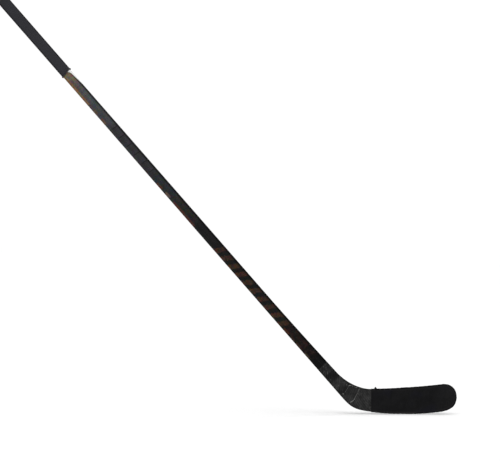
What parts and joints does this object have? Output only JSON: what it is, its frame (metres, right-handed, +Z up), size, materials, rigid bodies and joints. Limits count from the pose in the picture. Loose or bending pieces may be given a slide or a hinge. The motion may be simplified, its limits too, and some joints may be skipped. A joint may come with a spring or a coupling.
{
  "type": "ice hockey stick",
  "caption": "One-piece composite ice hockey stick with a rectangular tube shaft, a curved cloth-taped blade, a soft grip sleeve and a tape knob.",
  "frame": {"origin": "lowest point of the blade's rocker, on the worn flat of the tape, where the blade meets the ice", "axes": "+X along the blade towards the toe, +Z up, and +Y towards the backhand side; the shaft rises towards -X in the plane y = 0, and the forehand face looks towards -Y"},
  "size_m": [1.3141, 0.0334, 1.206],
  "materials": {
    "shaft_carbon": "clear-coated carbon laminate, dark with copper-brown diagonal bands, satin gloss",
    "grip_rubber": "matt fine-textured grip sleeve",
    "bead_rubber": "matt rolled edge",
    "cloth_tape": "matt woven cotton tape",
    "cap_plastic": "fine moulded texture",
    "inner_carbon": "raw laminate",
    "adhesive": "cured epoxy film",
    "blade_carbon": "woven carbon laminate, worn satin",
    "core_foam": "closed-cell foam"
  },
  "bodies": {
    "root": {"shaft_tube": "shaft_carbon", "grip_sleeve": "grip_rubber", "grip_end_bead": "bead_rubber", "knob_tape": "cloth_tape", "end_cap": "cap_plastic", "hosel_tenon": "inner_carbon", "fuse_adhesive": "adhesive", "blade_forehand_skin": "blade_carbon", "blade_backhand_skin": "blade_carbon", "blade_upper_core": "core_foam", "blade_lower_core": "core_foam", "blade_rib": "inner_carbon", "blade_tape": "cloth_tape"}
  },
  "joints": []
}
